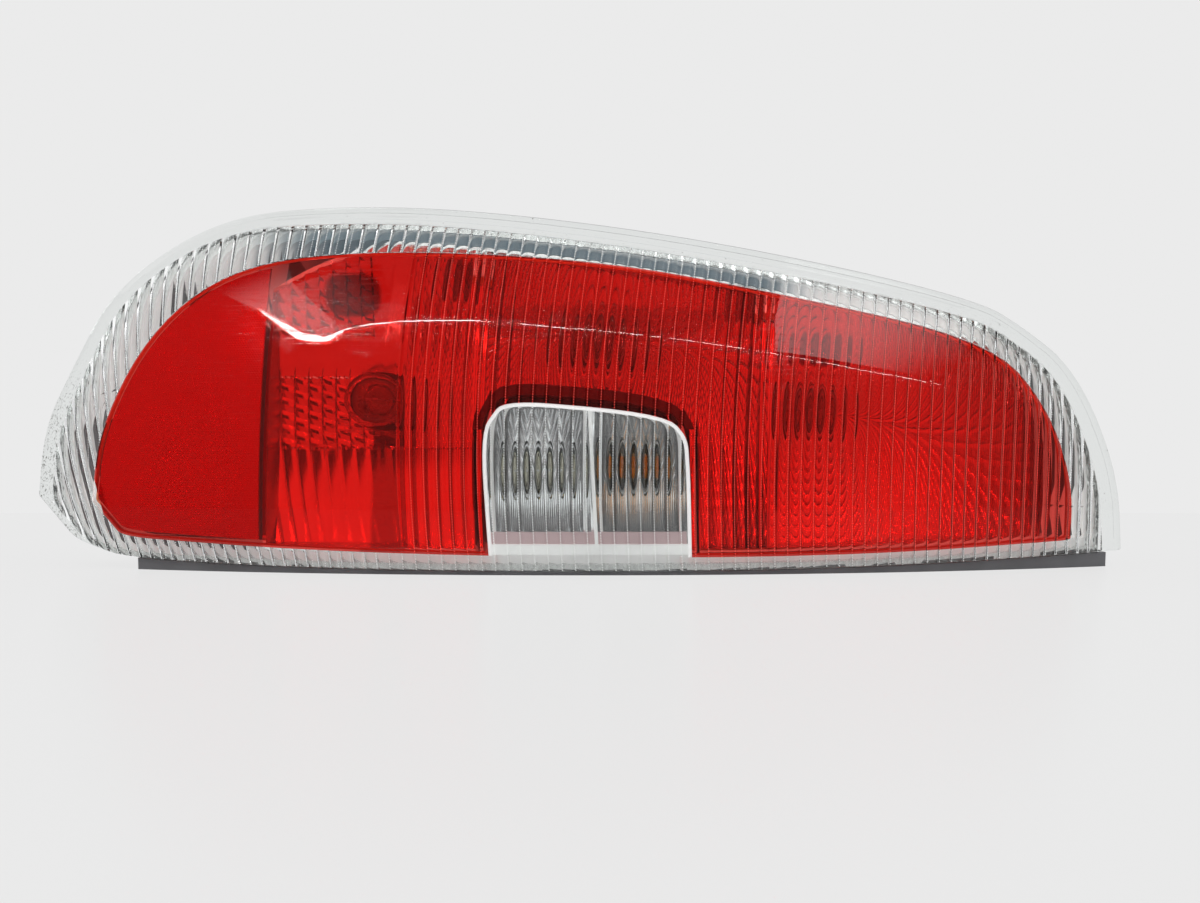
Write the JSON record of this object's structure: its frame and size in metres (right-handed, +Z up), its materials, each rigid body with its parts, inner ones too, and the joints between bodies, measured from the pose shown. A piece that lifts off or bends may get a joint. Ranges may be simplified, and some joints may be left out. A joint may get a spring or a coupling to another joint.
{
  "type": "tail light cluster",
  "caption": "Wrap-round rear lamp lying on its long edge: fluted red lens with a clear window and ribbed clear rim, metallised chambers, bulb carrier and housing.",
  "frame": {"origin": "middle of the lamp's box at the height of the surface that it lies on", "axes": "X along the lamp, towards its narrow end; +Y from the lens to the back; +Z up"},
  "size_m": [0.5108, 0.138, 0.1683],
  "materials": {
    "clear_plastic": "clear acrylic, ribbed, lightly scratched",
    "red_plastic": "transparent red acrylic, fluted inside",
    "white_plastic": "white",
    "reflex_red": "red prism plate",
    "housing_plastic": "moulded grey",
    "metallised": "vacuum metallised",
    "carrier_plastic": "moulded off-white",
    "gasket_rubber": "black",
    "contact_metal": "stamped",
    "screw_steel": "zinc plated",
    "seal_foam": "closed-cell foam",
    "stud_steel": "zinc plated",
    "peg_plastic": "moulded",
    "vent_rubber": "black",
    "bulb_glass": "clear glass",
    "bulb_cap": "plated brass",
    "amber_glass": "amber glass"
  },
  "bodies": {
    "root": {"clear_lens": "clear_plastic", "red_lens": "red_plastic", "window_border": "white_plastic", "reflex_reflector": "reflex_red", "housing": "housing_plastic", "left_reflector": "metallised", "middle_reflector": "metallised", "right_reflector": "metallised", "reversing_reflector": "metallised", "indicator_reflector": "metallised", "bulb_carrier": "carrier_plastic", "carrier_gasket": "gasket_rubber", "contact_strips": "contact_metal", "carrier_screws": "screw_steel", "body_seal": "seal_foam", "fixing_studs": "stud_steel", "locating_peg": "peg_plastic", "vent_cap": "vent_rubber", "left_bulb_glass": "bulb_glass", "left_bulb_cap": "bulb_cap", "middle_bulb_glass": "bulb_glass", "middle_bulb_cap": "bulb_cap", "right_bulb_glass": "bulb_glass", "right_bulb_cap": "bulb_cap", "reversing_bulb_glass": "bulb_glass", "reversing_bulb_cap": "bulb_cap", "indicator_bulb_glass": "amber_glass", "indicator_bulb_cap": "bulb_cap"}
  },
  "joints": []
}
